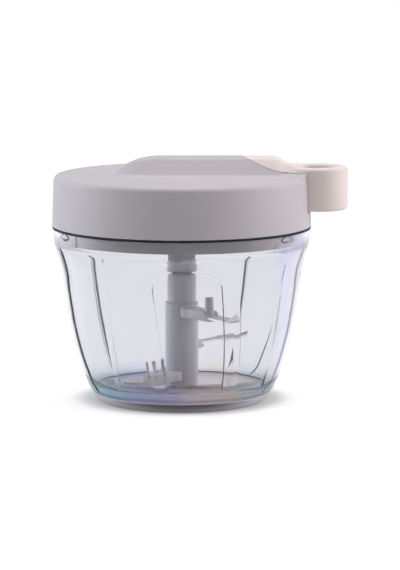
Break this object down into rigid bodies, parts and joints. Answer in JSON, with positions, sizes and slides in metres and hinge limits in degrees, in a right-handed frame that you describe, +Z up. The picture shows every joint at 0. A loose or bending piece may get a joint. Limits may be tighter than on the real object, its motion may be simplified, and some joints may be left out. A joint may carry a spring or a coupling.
{
  "type": "pull-cord food chopper",
  "caption": "Hand food chopper: a clear bowl with a blade shaft inside and a locking lid whose pull handle draws a cord from a spring-loaded spool to spin the blades.",
  "frame": {"origin": "on the table, under the middle of the object's bounding box; the bowl's axis stands 9.2 mm from it, along -X", "axes": "+Z up along the bowl's axis, +X from the bowl's axis towards the finger ring of the pull handle, -Y towards the viewer of the picture"},
  "size_m": [0.1484, 0.13, 0.1235],
  "materials": {
    "clear_plastic": "clear, polished",
    "lilac_plastic": "fine satin",
    "cream_plastic": "fine satin",
    "grey_plastic": "satin",
    "white_plastic": "satin",
    "mauve_rubber": "matt",
    "pale_rubber": "matt",
    "blade_steel": "ground and polished",
    "works_steel": "plain",
    "cord": "braided"
  },
  "bodies": {
    "bowl": {"bowl": "clear_plastic", "base_ring": "mauve_rubber", "floor_pin": "works_steel"},
    "blades": {"blade_shaft": "grey_plastic", "foot_bush": "white_plastic", "upper_blade": "blade_steel", "middle_blade": "blade_steel", "lower_blade": "blade_steel"},
    "lid_seal": {"lid_seal": "pale_rubber"},
    "lid": {"lid_cover": "lilac_plastic", "lid_base": "lilac_plastic", "cover_screw_1": "works_steel", "cover_screw_2": "works_steel", "cover_screw_3": "works_steel", "spool_axle": "works_steel", "spring_housing": "white_plastic", "housing_screw_1": "works_steel", "housing_screw_2": "works_steel", "housing_screw_3": "works_steel", "recoil_spring": "works_steel", "cord_eyelet": "works_steel", "drive_bush": "white_plastic", "pull_cord": "cord"},
    "handle": {"pull_handle": "cream_plastic", "cord_knot": "cord"},
    "spool": {"spool": "white_plastic", "cord_winding": "cord", "ratchet_wheel": "works_steel"},
    "drive": {"drive_hub": "grey_plastic", "pawl_a": "works_steel", "pawl_b": "works_steel"}
  },
  "joints": [
    {"name": "lid_lift", "type": "slide", "parent": "bowl", "child": "lid_seal", "axis": [0, 0, 1], "range_m": [0, 0.12]},
    {"name": "lid_turn", "type": "hinge", "parent": "lid_seal", "child": "lid", "pos_m": [-0.0092, 0, 0.089], "axis": [0, 0, 1], "range_deg": [0, 18]},
    {"name": "handle_pull", "type": "slide", "parent": "lid", "child": "handle", "axis": [1, 0, 0], "range_m": [0, 0.35], "stiffness_N_per_m": 10, "springref_m": -0.2, "deforming": ["pull_cord", "cord_winding", "recoil_spring"]},
    {"name": "spool_turn", "type": "hinge", "parent": "lid", "child": "spool", "pos_m": [-0.0092, 0, 0.107], "axis": [0, 0, 1], "continuous": true, "deforming": ["pull_cord", "cord_winding", "recoil_spring"]},
    {"name": "drive_turn", "type": "hinge", "parent": "lid", "child": "drive", "pos_m": [-0.0092, 0, 0.087], "axis": [0, 0, 1], "continuous": true},
    {"name": "blades_turn", "type": "hinge", "parent": "bowl", "child": "blades", "pos_m": [-0.0092, 0, 0.0235], "axis": [0, 0, 1], "continuous": true}
  ],
  "couplings": [
    {"joint": "spool_turn", "follows": "handle_pull", "rad_per_m": 48.66},
    {"joint": "drive_turn", "follows": "handle_pull", "rad_per_m": 48.66},
    {"joint": "blades_turn", "follows": "handle_pull", "rad_per_m": 48.66}
  ]
}
